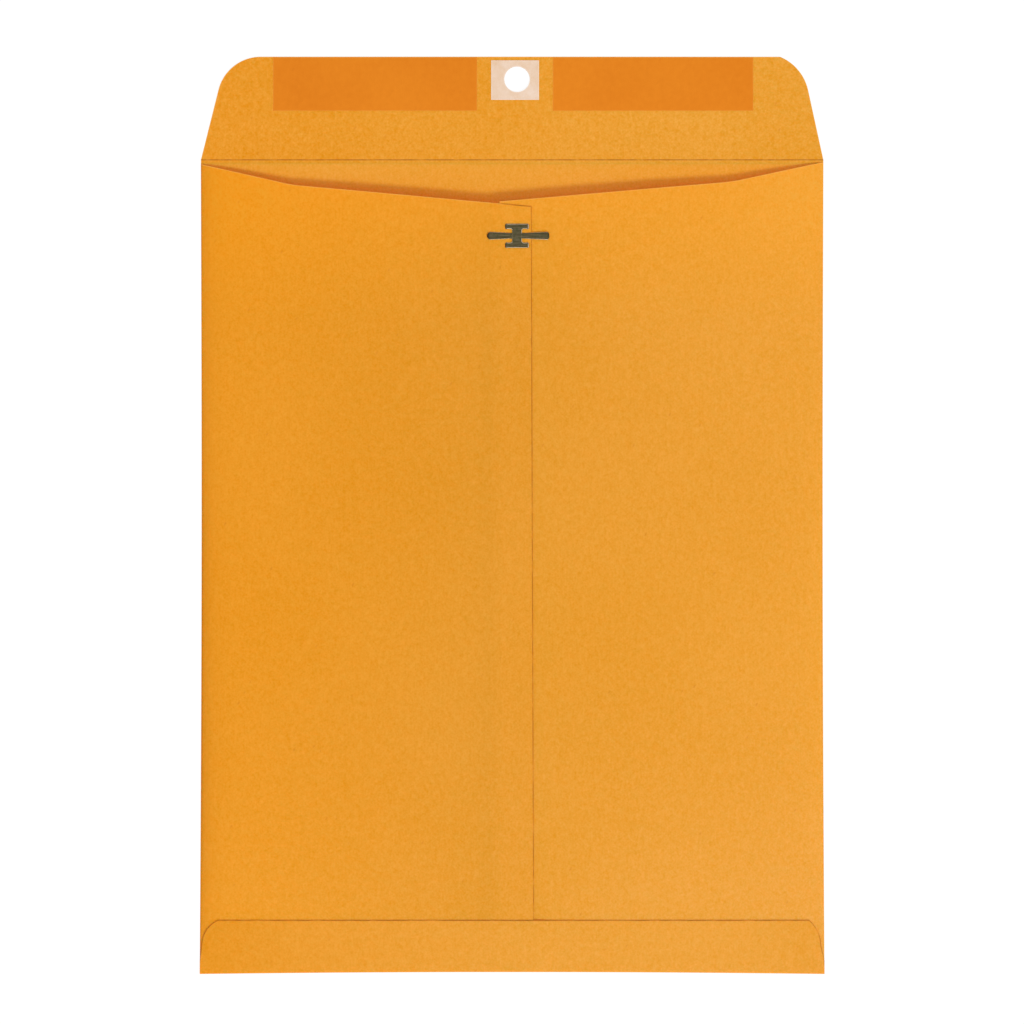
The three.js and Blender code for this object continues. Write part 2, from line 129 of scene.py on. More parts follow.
thickness = paper["thickness"]
foldX = halfWidth - paper["foldDepth"]
panelBase = thickness + paper["foldSpace"]  # underside of a side panel at its fold
lapStep = thickness + paper["lapSpace"]
innerLapX = seam["topX"] - seam["lapWidth"]
lapFrom = innerLapX - seam["rampMargin"]
lapTo = seam["bottomX"] + seam["rampMargin"]
flapStartY = foldY + paper["bottomFoldDepth"]
panelStartY = flapStartY + paper["foldSpace"]
neckY = creaseY - throat["sideDrop"]  # the back is parted from the face above this
mouthEndY = creaseY - mouth["seatLength"]
pocket.update({"Fold X": foldX, "Neck Y": neckY, "Bottom Y": panelStartY,
               "Mouth End Y": mouthEndY, "Mouth Start Y": mouthEndY - mouth["riseLength"]})


# Node helpers, for the geometry trees and the materials

def feed(value, socket):
    if isinstance(value, bpy.types.NodeSocket):
        socket.id_data.links.new(value, socket)
    else:
        socket.default_value = value


def addNode(tree, kind, values=None, **settings):
    # A kind without Node in its name is a shader's
    node = tree.nodes.new(kind if "Node" in kind else "ShaderNode" + kind)
    for key, setting in settings.items():
        setattr(node, key, setting)
    for key, value in (values or {}).items():
        feed(value, node.inputs[key])
    return node


def outputsOf(kind, values, **settings):
    # A node in the tree of the sockets that feed it
    tree = next(value.id_data for value in values.values() if isinstance(value, bpy.types.NodeSocket))
    return addNode(tree, kind, values, **settings).outputs


def calc(operation, *values, clamp=False):
    return outputsOf("Math", dict(enumerate(values)), operation=operation, use_clamp=clamp)[0]


def times(value, *others):
    for other in others:
        value = calc("MULTIPLY", value, other)
    return value


def inverse(size):
    return calc("DIVIDE", 1.0, size)


def centred(value, amount):
    return times(calc("SUBTRACT", value, 0.5), amount)


def joined(tree, x, y, z=0.0):
    return addNode(tree, "CombineXYZ", {"X": x, "Y": y, "Z": z}).outputs[0]


def newGroup(name, outputs, kind="ShaderNodeTree", **inputs):
    # Its sockets are lists of labels, by kind of socket
    tree = bpy.data.node_groups.new(name, kind)
    for way, sockets in (("INPUT", inputs), ("OUTPUT", outputs)):
        for socket, labels in sockets.items():
            for label in labels:
                tree.interface.new_socket(name=label, in_out=way, socket_type="NodeSocket" + socket)
    return tree, tree.nodes.new("NodeGroupInput").outputs, tree.nodes.new("NodeGroupOutput").inputs


def noise(vector, scale, detail=1.0, seed=0.0):
    values = {"Vector": vector, "Scale": scale, "Detail": detail, "W": seed}
    return outputsOf("TexNoise", values, noise_dimensions="4D")[0]


def eased(value, low, high, lowResult=0.0, highResult=1.0):
    values = {"Value": value, "From Min": low, "From Max": high, "To Min": lowResult, "To Max": highResult}
    return outputsOf("MapRange", values, interpolation_type="SMOOTHSTEP")[0]


# Geometry trees: each lifts a flat sheet along Z and paints it

def newShape(name, numbers):
    return newGroup(name, {"Geometry": ["Geometry"]}, "GeometryNodeTree",
                    Geometry=["Geometry"], Float=numbers, Material=["Material"])


def flatPlace(tree):
    place = addNode(tree, "GeometryNodeInputPosition").outputs[0]
    x, y = outputsOf("SeparateXYZ", {"Vector": place})[:2]
    return x, y, joined(tree, x, y)


def liftAndPaint(tree, given, out, height, shiftX=0.0, shiftY=0.0):
    values = {"Geometry": given["Geometry"], "Offset": joined(tree, shiftX, shiftY, height)}
    lifted = outputsOf("GeometryNodeSetPosition", values)[0]
    real = outputsOf("GeometryNodeRealizeInstances", {"Geometry": lifted})[0]
    painted = outputsOf("GeometryNodeSetMaterial", {"Geometry": real, "Material": given["Material"]})
    feed(painted[0], out[0])


def buildPocketTree():
    tree, given, out = newShape("pocketShape", [*pocket, "Crown Round", "Lifted"])
    x, y, flat = flatPlace(tree)
    fromBottom = calc("SUBTRACT", y, given["Bottom Y"])
    up = calc("DIVIDE", fromBottom, given["Bottom Length"], clamp=True)
    swell = calc("SINE", times(up, math.pi / 2))

    def towardsMouth(below, above):
        return eased(y, given["Mouth Start Y"], given["Mouth End Y"], below, above)

    crest = towardsMouth(given["Middle Rise"], given["Mouth Rise"])
    across = calc("DIVIDE", calc("ABSOLUTE", x), given["Fold X"], clamp=True)
    fall = calc("SUBTRACT", 1.0, calc("POWER", across, given["Crown Power"]), clamp=True)
    fall = calc("POWER", fall, towardsMouth(given["Body Round"], given["Crown Round"]))
    cloud = noise(flat, inverse(given["Wave Size"]), seed=given["Seed"])
    wave = centred(cloud, given["Wave Height"])
    full = calc("MULTIPLY_ADD", wave, towardsMouth(1.0, 0.0), crest)
    height = times(full, times(swell, fall), given["Lifted"])
    length = calc("SUBTRACT", given["Neck Y"], given["Bottom Y"])
    halfTurn = times(calc("DIVIDE", fromBottom, length, clamp=True), math.pi)
    sideDraw = times(calc("SINE", halfTurn), given["Side Draw"])
    nearBottom = eased(fromBottom, 0.0, given["Bottom Draw Length"], given["Bottom Draw"], 0.0)
    inward = calc("SUBTRACT", 1.0, times(across, across))
    liftAndPaint(tree, given, out, height, times(x, sideDraw, -1.0), times(inward, nearBottom))
    return tree


# The seal flap isn't quite flat
cockle = {
    "Height": 0.55 * mm, "Size": 80 * mm, "Seed": 11.0,
    "Flat Y": creaseY + 2 * mm, "Full Y": creaseY + 30 * mm,
}


def buildCockleTree():
    tree, given, out = newShape("paperCockle", cockle)
    _, y, flat = flatPlace(tree)
    cloud = noise(flat, inverse(given["Size"]), seed=given["Seed"])
    height = eased(y, given["Flat Y"], given["Full Y"], 0.0, given["Height"])
    liftAndPaint(tree, given, out, times(cloud, height))
    return tree


def settle(piece):
    # Turns a piece's modifiers into its own mesh
    graph = bpy.context.evaluated_depsgraph_get()
    made = bpy.data.meshes.new_from_object(piece.evaluated_get(graph), depsgraph=graph)
    old = piece.data
    piece.modifiers.clear()
    piece.data = made
    bpy.data.meshes.remove(old)


def shapeBy(tree, piece, values):
    modifier = piece.modifiers.new(tree.name, "NODES")
    modifier.node_group = tree
    for item in tree.interface.items_tree:
        if item.in_out == "INPUT" and item.name in values:
            modifier[item.identifier] = values[item.name]
    settle(piece)


# Mesh helpers

def smoothstep(value, low, high):
    share = np.clip((value - low) / (high - low), 0, 1)
    return share * share * (3 - 2 * share)


def stations(length, cell, nearStart=(), nearEnd=()):
    # Shares of a length from 0 to 1, with extra ones near its ends
    low, high = max(nearStart, default=0), length - max(nearEnd, default=0)
    even = np.linspace(low, high, max(round((high - low) / cell), 1) + 1)
    return np.unique([0, *nearStart, *even, *(length - near for near in nearEnd), length]) / length


def paperStations(length, nearStart=paper["edgeCells"]):
    return stations(length, paper["cell"], nearStart, paper["edgeCells"])


def thinned(values, least=paper["rowGap"]):
    kept = []
    for value in sorted(values):
        if not kept or value - kept[-1] > least:
            kept.append(value)
    return np.array(kept)


def around(items):
    # Each one with the next, and the last with the first
    return zip(items, items[1:] + items[:1])


def xyz(x, y, z):
    return np.stack(np.broadcast_arrays(x, y, z), axis=-1).astype(float)


def linked(name, data):
    thing = bpy.data.objects.new(name, data)
    scene.collection.objects.link(thing)
    return thing


def makePiece(name, points, faces):
    mesh = bpy.data.meshes.new(name)
    mesh.from_pydata(points, [], faces)
    mesh.update()
    return linked(name, mesh)


def pieceFrom(name, bm):
    mesh = bpy.data.meshes.new(name)
    bm.to_mesh(mesh)
    bm.free()
    return linked(name, mesh)


def pointsOf(piece):
    points = np.empty(len(piece.data.vertices) * 3, np.float32)
    piece.data.vertices.foreach_get("co", points)
    return points


def setMask(piece, label, values):
    mask = piece.data.attributes.new(label, "FLOAT", "POINT")
    mask.data.foreach_set("value", values.astype(np.float32))


def makeSheet(name, outer, inner, masks, ringed=False, mirrored=False):
    # A closed thin solid. Points are [row, column]; the outer side is up where columns run along +X
    # and rows along +Y, or along -X and mirrored. A ringed sheet's last column joins its first.
    if mirrored:
        outer, inner = outer[:, ::-1], inner[:, ::-1]
        masks = {label: values[:, ::-1] for label, values in masks.items()}
    rows, columns = outer.shape[:2]
    index = np.arange(rows * columns).reshape(rows, columns)
    if ringed:
        index = np.hstack([index, index[:, :1]])
    a, b, c, d = index[:-1, :-1], index[:-1, 1:], index[1:, 1:], index[1:, :-1]
    count = rows * columns
    upper = np.stack([a, b, c, d], axis=-1).reshape(-1, 4)
    lower = np.stack([a, d, c, b], axis=-1).reshape(-1, 4) + count
    sides = [index[0], index[-1, ::-1]]
    if not ringed:
        sides += [index[:, -1], index[::-1, 0]]
    walls = [np.stack([s[:-1] + count, s[1:] + count, s[1:], s[:-1]], axis=-1) for s in sides]
    faces = np.concatenate([upper, lower, *walls]).tolist()
    piece = makePiece(name, np.concatenate([outer.reshape(-1, 3), inner.reshape(-1, 3)]).tolist(), faces)
    for label, values in masks.items():
        setMask(piece, label, np.tile(values.ravel(), 2))
    return piece


def cutBy(piece, *cutters):
    for cutter in cutters:
        modifier = piece.modifiers.new("cut", "BOOLEAN")
        modifier.operation = "DIFFERENCE"
        modifier.solver = "EXACT"
        modifier.object = cutter
    settle(piece)
    for cutter in cutters:
        bpy.data.objects.remove(cutter)


def boxCutter(x0, y0, x1, y1, reach=5 * mm):
    bm = bmesh.new()
    bmesh.ops.create_cube(bm, size=1)
    for vertex in bm.verts:
        vertex.co.x = x1 if vertex.co.x > 0 else x0
        vertex.co.y = y1 if vertex.co.y > 0 else y0
        vertex.co.z = math.copysign(reach, vertex.co.z)
    return pieceFrom("cutter", bm)


def roundCutter(x, y, radius, sides, reach=5 * mm):
    bm = bmesh.new()
    bmesh.ops.create_cone(bm, cap_ends=True, segments=sides, radius1=radius, radius2=radius, depth=2 * reach)
    bmesh.ops.translate(bm, verts=bm.verts, vec=(x, y, 0))
    return pieceFrom("cutter", bm)


def finishMesh(piece, sharpAbove=35):
    mesh = piece.data
    mesh.shade_smooth()
    mesh.set_sharp_from_angle(angle=math.radians(sharpAbove))
    rest = mesh.attributes.new("restPlace", "FLOAT_VECTOR", "POINT")
    rest.data.foreach_set("vector", pointsOf(piece))  # a pattern stays on a piece that bends


def edgeMask(*distances, width=0.4 * mm):
    return np.clip(1 - np.minimum.reduce(np.broadcast_arrays(*distances)) / width, 0, 1)


# Finishes. A colour is written as it looks on a screen, 0 to 255.

def colour(red, green, blue):
    def linear(value):
        share = value / 255
        return share / 12.92 if share <= 0.04045 else ((share + 0.055) / 1.055) ** 2.4
    return linear(red), linear(green), linear(blue), 1.0


def newMaterial(name):
    material = bpy.data.materials.new(name)
    material.use_nodes = True
    tree = material.node_tree
    place = addNode(tree, "Attribute", attribute_name="restPlace").outputs["Vector"]
    return material, tree.nodes["Principled BSDF"].inputs, place


def maskOf(place, name):
    return addNode(place.id_data, "Attribute", attribute_name=name).outputs["Fac"]


def finishShader(shader, tint, roughness, height, relief, gloss=0.5):
    # Relief is the bump's strength and depth
    feed(tint, shader["Base Color"])
    feed(roughness, shader["Roughness"])
    bump = {"Height": height, "Strength": relief[0], "Distance": relief[1]}
    feed(outputsOf("Bump", bump)[0], shader["Normal"])
    shader["Specular IOR Level"].default_value = gloss


def mixColours(share, first, second, blend="MIX"):
    return outputsOf("Mix", {0: share, 6: first, 7: second}, data_type="RGBA",
                     blend_type=blend, clamp_result=blend == "MULTIPLY")[2]


def alongStops(value, shadeStops):
    # A colour that changes from stop to stop of a value
    (before, mixed), *rest = shadeStops
    for stop, after in rest:
        share = outputsOf("MapRange", {"Value": value, "From Min": before, "From Max": stop})[0]
        before, mixed = stop, mixColours(share, mixed, after)
    return mixed


def stretched(vector, x, y, z, angle=0.0):
    turned = outputsOf("VectorRotate", {"Vector": vector, "Angle": math.radians(angle)})[0]
    scale = joined(vector.id_data, x, y, z)
    return outputsOf("VectorMath", {0: turned, 1: scale}, operation="MULTIPLY")[0]


coatOutputs = {"Color": ["Color"], "Float": ["Roughness", "Height"]}
# Fibres lie three ways, one of them along the sheet, and a few long flecks lie among them
paperLayers = {
    "fibreAngles": (0, 62, -48),
    "fleckShape": 0.45, "fleckAngle": 30, "fleckEdge": (0.16, 0.05), "fleckRare": (0.7, 0.95),
    "roughness": 0.8, "roughnessChange": 0.35, "grainRelief": 0.5, "mottleRelief": 0.8,
}
markBreaks = (0.25, 0.6, 0.35, 1.0)  # noise from and to, mark from and to


def buildPaperGroup():
    layers = paperLayers
    sizes = ["Cloud Size", "Mottle Size", "Fibre Length", "Fibre Width", "Grain Size", "Fleck Size"]
    tree, given, out = newGroup("paperFibre", coatOutputs, Vector=["Place"],
                                Color=["Deep Color", "Pale Color", "Fleck Color"],
                                Float=["Seed", "Cloud", "Mottle", "Fibre", "Grain", "Fleck", *sizes])
    place, seed = given["Place"], given["Seed"]
    per = {label: inverse(given[label]) for label in sizes}
    cloud = noise(place, per["Cloud Size"], seed=seed)
    mottle = noise(place, per["Mottle Size"], 3.0, seed)
    grain = noise(place, per["Grain Size"], seed=seed)
    fibres = []
    for angle in layers["fibreAngles"]:
        along = stretched(place, per["Fibre Width"], per["Fibre Length"], per["Fibre Width"], angle)
        fibres.append(noise(along, 1.0, 2.0, seed))
    fibre = calc("ADD", fibres[0], times(calc("ADD", fibres[1], fibres[2]), 0.5))
    fibre = times(fibre, 0.5)
    share = 0.5
    for label, value in {"Cloud": cloud, "Mottle": mottle, "Fibre": fibre, "Grain": grain}.items():
        share = calc("ADD", share, centred(value, given[label]), clamp=label == "Grain")
    sheetColour = mixColours(share, given["Deep Color"], given["Pale Color"])
    size = per["Fleck Size"]
    short = times(size, layers["fleckShape"])
    speckPlace = stretched(place, size, short, size, layers["fleckAngle"])
    speck = outputsOf("TexVoronoi", {"Vector": speckPlace, "Scale": 1.0})
    rare = outputsOf("SeparateColor", {"Color": speck["Color"]})[0]
    small = eased(speck["Distance"], *layers["fleckEdge"])
    fleck = times(small, eased(rare, *layers["fleckRare"]), given["Fleck"])
    feed(mixColours(fleck, sheetColour, given["Fleck Color"]), out["Color"])
    change = centred(mottle, layers["roughnessChange"])
    feed(calc("ADD", layers["roughness"], change), out["Roughness"])
    relief = calc("ADD", fibre, times(grain, layers["grainRelief"]))
    feed(calc("ADD", relief, times(mottle, layers["mottleRelief"])), out["Height"])
    return tree


def buildEdgeMarkGroup():
    tree, given, out = newGroup("edgeWear", {"Color": ["Color"]}, Color=["Color", "Wear Color"],
                                Vector=["Place"], Float=["Mask", "Amount", "Break Size"])
    patches = noise(given["Place"], inverse(given["Break Size"]), 2.0)
    broken = eased(patches, *markBreaks)
    mask = calc("MULTIPLY", times(given["Mask"], given["Amount"]), broken, clamp=True)
    feed(mixColours(mask, given["Color"], given["Wear Color"]), out[0])
    return tree


paperGroup = buildPaperGroup()
edgeMarkGroup = buildEdgeMarkGroup()


def coat(group, values):
    return outputsOf("Group", values, node_tree=group)


def edgeMark(place, tint, mask, look):
    return coat(edgeMarkGroup, {**look, "Place": place, "Color": tint, "Mask": maskOf(place, mask)})[0]


# Light comes through kraft paper too. The share of its own colour that shows is the one below, so a
# tone written as it looks is divided by it.
kraftSheet = {"through": 0.4, "throughColour": (255, 121, 28), "shown": (0.896, 0.635, 0.635)}


def paperColour(red, green, blue):
    own = colour(*(max(value, 0) for value in (red, green, blue)))
    return (*(min(value / share, 1.0) for value, share in zip(own, kraftSheet["shown"])), 1.0)


kraft = {
    "Fleck Color": paperColour(205, 120, 30),
    "Cloud Size": 60 * mm, "Cloud": 0.5,
    "Mottle Size": 2.0 * mm, "Mottle": 1.0,
    "Fibre Length": 4.5 * mm, "Fibre Width": 0.7 * mm, "Fibre": 1.3,
    "Grain Size": 0.75 * mm, "Grain": 1.5,
    "Fleck Size": 3.2 * mm, "Fleck": 0.4,
}
# Lighter cut edges: partly the raw paper's lighter fibres, partly a painted highlight where the edge catches
# light
kraftEdgeWearAndGlint = {"Wear Color": paperColour(250, 186, 92), "Amount": 0.8, "Break Size": 3 * mm}
# Painted shade lines: in the crease's score, along the seam's lapped edge, where the throat edge lies on the
# inner lap, along the bottom flap's free edge and on the left fold's turn
kraftShadeLine = {"Amount": 1.1, "Break Size": 5 * mm}
kraftFinish = {"relief": (0.25, 0.05 * mm), "gloss": 0.12}
# Painted shade colour by the left side fold, which faces away from the lamp
kraftFoldShade = paperColour(217, 133, 25)
kraftVaries = {"Deep Color": (-8, -11, -22), "Pale Color": (7, 10, 20)}
# Painted light up the back of the pocket: the sheet is paler at the bottom and warmer at the mouth, standing
# in for how the lamp from -Y lights it
backLightTints = (
    (-150 * mm, (1.005, 1.03, 1.32, 1.0)), (-60 * mm, (1.0, 1.0, 1.0, 1.0)),
    (78 * mm, (1.0, 1.0, 1.0, 1.0)), (125 * mm, (1.07, 1.045, 0.9, 1.0)),
)


def kraftMaterial(name, seed, *shadeStops, lightTints=(), vary=0.75, line=(156, 90, 24)):
    # Painted light: the sheet's tone changes a little along X, from stop to stop, standing in for the lamp's
    # sheen, which is stronger towards +X
    material, shader, place = newMaterial(name)
    x, y = outputsOf("SeparateXYZ", {"Vector": place})[:2]
    tones = {}
    for label, change in kraftVaries.items():
        varied = [(stop, paperColour(*(a + b * vary for a, b in zip(tone, change)))) for stop, tone in shadeStops]
        tones[label] = alongStops(x, varied)
    fibre = coat(paperGroup, {**kraft, **tones, "Place": place, "Seed": seed})
    tint = fibre["Color"]
    if lightTints:
        tint = mixColours(1.0, tint, alongStops(y, lightTints), "MULTIPLY")
    # painted shade by the left side fold
    pressed = mixColours(maskOf(place, "pressed"), tint, kraftFoldShade)
    # lighter cut edges, worn fibres and painted highlight
    edgeMarked = edgeMark(place, pressed, "cutEdge", kraftEdgeWearAndGlint)
    # painted shade lines
    lineShaded = edgeMark(place, edgeMarked, "scoreLine", {**kraftShadeLine, "Wear Color": paperColour(*line)})
    finishShader(shader, lineShaded, fibre["Roughness"], fibre["Height"], **kraftFinish)
    tree = material.node_tree
    through = {"Color": colour(*kraftSheet["throughColour"])}
    glow = addNode(tree, "BsdfTranslucent", through).outputs[0]
    front = tree.nodes["Principled BSDF"].outputs[0]
    sheet = outputsOf("MixShader", {0: kraftSheet["through"], 1: front, 2: glow})[0]
    feed(sheet, tree.nodes["Material Output"].inputs["Surface"])
    return material


patchLook = {
    "Deep Color": colour(227, 191, 155),
    "Pale Color": colour(240, 216, 197),
    "Fleck Color": colour(226, 170, 128),
    "Cloud Size": 7 * mm, "Cloud": 1.0,
    "Mottle Size": 2.2 * mm, "Mottle": 0.9,
    "Fibre Length": 3.5 * mm, "Fibre Width": 0.35 * mm, "Fibre": 0.9,
    "Grain Size": 0.35 * mm, "Grain": 0.5,
    "Fleck Size": 2.5 * mm, "Fleck": 0.3,
    "Seed": 8.0,
}
patchEdge = {"Wear Color": colour(244, 226, 210), "Amount": 0.8, "Break Size": 3 * mm}
patchFinish = {"relief": (0.3, 0.04 * mm), "gloss": 0.25}


def patchMaterial():
    material, shader, place = newMaterial("patchPaper")
    fibre = coat(paperGroup, {**patchLook, "Place": place})
    edgeMarked = edgeMark(place, fibre["Color"], "cutEdge", patchEdge)
    finishShader(shader, edgeMarked, fibre["Roughness"], fibre["Height"], **patchFinish)
    return material


gumLook = {
    "Deep Color": colour(217, 118, 8),
    "Pale Color": colour(233, 137, 25),
    "Fleck Color": colour(200, 100, 6),
    "Cloud Size": 35 * mm, "Cloud": 0.6,
    "Mottle Size": 2.6 * mm, "Mottle": 0.6,
    "Fibre Length": 4 * mm, "Fibre Width": 0.5 * mm, "Fibre": 0.6,
    "Grain Size": 0.4 * mm, "Grain": 0.3,
    "Fleck Size": 4 * mm, "Fleck": 0.2,
    "Seed": 5.0,
}
gumEdge = {"Wear Color": colour(236, 150, 52), "Amount": 0.7, "Break Size": 4 * mm}
gumFinish = {"relief": (0.2, 0.03 * mm), "gloss": 0.16}
gumFilm = {"streakLength": 30 * mm, "streakWidth": 0.9 * mm, "roughness": 0.5, "roughnessChange": 0.3,
           "fibreRelief": 0.3}


def gumMaterial():
    material, shader, place = newMaterial("gumFilm")
    fibre = coat(paperGroup, {**gumLook, "Place": place})
    thin = edgeMark(place, fibre["Color"], "cutEdge", gumEdge)
    streakPlace = stretched(place, 1 / gumFilm["streakLength"], 1 / gumFilm["streakWidth"], 1.0)
    streak = noise(streakPlace, 1.0, 2.0, 2.0)
    roughness = calc("ADD", gumFilm["roughness"], centred(streak, gumFilm["roughnessChange"]))
    height = calc("ADD", streak, times(fibre["Height"], gumFilm["fibreRelief"]))
    finishShader(shader, thin, roughness, height, **gumFinish)
    return material


gluePaste = {"deep": colour(214, 196, 150), "pale": colour(238, 226, 196), "cloudSize": 3 * mm,
             "roughness": (0.2, 0.8, 0.35, 0.6), "relief": (0.3, 0.03 * mm)}


def glueMaterial():
    material, shader, place = newMaterial("driedGlue")
    cloud = noise(place, 1 / gluePaste["cloudSize"], 3.0, 1.0)
    tint = mixColours(cloud, gluePaste["deep"], gluePaste["pale"])
    roughness = eased(cloud, *gluePaste["roughness"])
    finishShader(shader, tint, roughness, cloud, gluePaste["relief"])
    return material


metalLayers = {"grain": (0.25, 0.75), "stain": (0.45, 0.7), "roughness": 0.42, "roughnessChange": 0.5,
               "stainRelief": 0.6}


def buildMetalGroup():
    layers = metalLayers
    tree, given, out = newGroup("stampedMetal", coatOutputs, Vector=["Place"],
                                Color=["Deep Color", "Pale Color", "Stain Color"],
                                Float=["Seed", "Grain Length", "Grain Width", "Stain Size", "Stain"])
    place, seed = given["Place"], given["Seed"]
    thin = inverse(given["Grain Width"])
    grain = stretched(place, inverse(given["Grain Length"]), thin, thin)
    rolled = noise(grain, 1.0, 3.0, seed)
    blotch = noise(place, inverse(given["Stain Size"]), 3.0, seed)
    bright = eased(rolled, *layers["grain"])
    bare = mixColours(bright, given["Deep Color"], given["Pale Color"])
    stain = times(eased(blotch, *layers["stain"]), given["Stain"])
    feed(mixColours(stain, bare, given["Stain Color"]), out["Color"])
    change = centred(blotch, layers["roughnessChange"])
    feed(calc("ADD", layers["roughness"], change), out["Roughness"])
    feed(calc("ADD", rolled, times(blotch, layers["stainRelief"])), out["Height"])
    return tree


metalGroup = buildMetalGroup()

# Painted reflection: the plate's metal is kept dark, standing in for the dark surroundings it reflects; its
# grain and stains are its own
claspFaceReflection = {
    "Deep Color": colour(68, 60, 38), "Pale Color": colour(106, 98, 74), "Stain Color": colour(66, 70, 44),
    "Seed": 4.0, "Grain Length": 5 * mm, "Grain Width": 0.22 * mm, "Stain Size": 1.3 * mm, "Stain": 0.7,
}
# Painted highlight: a lighter copy of the clasp's metal for its edges
claspRimHighlight = {
    "Deep Color": colour(164, 150, 122), "Pale Color": colour(216, 202, 176),
    "Stain Color": colour(136, 124, 96),
    "Seed": 6.0, "Grain Length": 2 * mm, "Grain Width": 0.1 * mm, "Stain Size": 1.0 * mm, "Stain": 0.6,
}
# Painted dark reflection on the prongs' tips
darkReflectionColour = colour(34, 24, 14)
metalRelief = (0.25, 0.02 * mm)


def metalMaterial(name, look):
    material, shader, place = newMaterial(name)
    metal = coat(metalGroup, {**look, "Place": place})
    # painted dark reflection on the prongs' tips
    paintedDark = mixColours(maskOf(place, "tarnish"), metal["Color"], darkReflectionColour)
    finishShader(shader, paintedDark, metal["Roughness"], metal["Height"], metalRelief)
    shader["Metallic"].default_value = 1.0
    return material


gumPaint, patchPaint, gluePaint = gumMaterial(), patchMaterial(), glueMaterial()
claspPaint = metalMaterial("claspMetal", claspFaceReflection)
rimHighlightPaint = metalMaterial("claspCutEdge", claspRimHighlight)
print("materials made")

pocketTree = buildPocketTree()
cockleTree = buildCockleTree()


# The pocket's sheets, laid out flat and then lifted

def lapLift(x):
    up = smoothstep(x, lapFrom - seam["ramp"], lapFrom)
    return lapStep * (up - smoothstep(x, lapTo, lapTo + seam["ramp"]))


def turnSection(depth, height):
    # A pressed fold from the face panel up to the back, as distances out and heights, by its steps
    angle = np.radians(np.linspace(-90, 90, paper["foldSteps"] + 1))[:-1, None]
    middle = height / 2
    outer = depth * np.cos(angle), middle + middle * np.sin(angle)
    inner = (depth - thickness) * np.cos(angle), middle + (middle - thickness) * np.sin(angle)
    return outer, inner


def throatDrop(x, side, seamCorner):
    # How far below the crease a panel's free edge runs
    edge = throat["left" if side < 0 else "right"]
    kink, kinkFromSide, soften = edge["kink"], edge["kinkFromSide"], edge["soften"]
    kinkX = halfWidth - kinkFromSide
    slopeIn = (edge["seam"] - kink) / (kinkX - seamCorner * side)
    slopeOut = (kink - edge["side"]) / kinkFromSide
    past = x * side - kinkX
    share = np.clip((past + soften) / (2 * soften), 0, 1)
    bend = kink + soften * (slopeIn * (1 - share) ** 2 - slopeOut * share ** 2)
    straight = kink - past * np.where(past < 0, slopeIn, slopeOut)
    return np.where(np.abs(past) < soften, bend, straight)


def seamX(y):
    top = creaseY - throat["left"]["seam"]
    return seam["topX"] + (seam["bottomX"] - seam["topX"]) * (top - y) / (top - foldY)


# Painted shade by the left side fold: its strength, how far it fades inwards, and its dark line on the
# fold's turn
leftFoldShade = {"share": 0.42, "length": 3.5 * mm, "line": 0.3}


def sidePanel(name, side, innerEdge, seamCorner):
    # The left panel, side -1, is the outer lap
    width, length = foldX - side * seamCorner, neckY - panelStartY
    v = paperStations(length, ())
    across, along = np.meshgrid(paperStations(width), v)
    x = side * foldX + across * (seamCorner - side * foldX)
    for _ in range(4):  # the seam leans, and the throat slopes
        y = panelStartY + along * (creaseY - throatDrop(x, side, seamCorner) - panelStartY)
        x = side * foldX + across * (innerEdge(y) - side * foldX)
    low = panelBase + (lapLift(x) if side < 0 else 0)
    turns = turnSection(paper["foldDepth"], panelBase + thickness)
    turnY = (panelStartY + v * length)[:, None]
    layers = []
    for (out, height), top in zip(turns, (thickness, 0)):
        turn = xyz(side * (foldX + out).T, turnY, height.T)
        layers.append(np.hstack([turn, xyz(x, y, low + top)]))
    lying = smoothstep(x, innerLapX, innerLapX + seam["lieLength"]) if side < 0 else 0
    throatEdge = edgeMask((1 - along) * length)
    turned = throatEdge[:, :paper["foldSteps"]]
    # Painted shade: a dark line along the seam edge and where the throat edge lies on the inner lap
    paintedDark = np.maximum(edgeMask((1 - across) * width), throatEdge * lying)
    masks = {"cutEdge": np.hstack([turned, throatEdge * (1 - lying)]),
             "scoreLine": np.hstack([0 * turned, paintedDark])}
    if side < 0:  # painted shade: the left fold faces away from the lamp
        fade = leftFoldShade["share"] * np.exp(-across * width / leftFoldShade["length"])
        masks["pressed"] = np.hstack([leftFoldShade["share"] + 0 * turned, fade])
        masks["scoreLine"][:, :paper["foldSteps"]] = leftFoldShade["line"]
    piece = makeSheet(name, *layers, masks, mirrored=side > 0)
    cutBy(piece, *slitCutters())
    return piece


# The clasp's four slits go through both laps
clasp = {
    **lengths(width=9.7, height=9.7, thickness=0.3, barHeight=2.0, barFlare=0.22, flareLength=0.66,
              notchRadius=0.75, edgeRound=0.07, tangWidth=1.6, tangPoint=0.5, tangLength=2.3,
              tangBend=0.4,  # outer radius
              slitClearance=0.1, seatClearance=0.04, clinchClearance=0.05,
              rim=0.2),  # painted highlight band along the plate's edges
    "notchSteps": 9, "edgeSteps": 3, "edgeAngle": 40,
    "tangTurn": 15,  # degrees of each step
    "tangShoulder": 0.35,  # share of its length after which it narrows
}
claspSeat = claspTop - clasp["thickness"]
barY = clasp["height"] / 2 - clasp["barHeight"] / 2
barEnd = clasp["width"] / 2 - clasp["tangBend"]


def slitCutters():
    outer = clasp["width"] / 2 + clasp["slitClearance"]
    inner = clasp["width"] / 2 - clasp["thickness"] - clasp["slitClearance"]
    half = clasp["tangWidth"] / 2 + clasp["slitClearance"]
    for side in (-1, 1):
        x0, x1 = sorted((claspX + side * inner, claspX + side * outer))
        for y in (claspY - barY, claspY + barY):
            yield boxCutter(x0, y - half, x1, y + half)


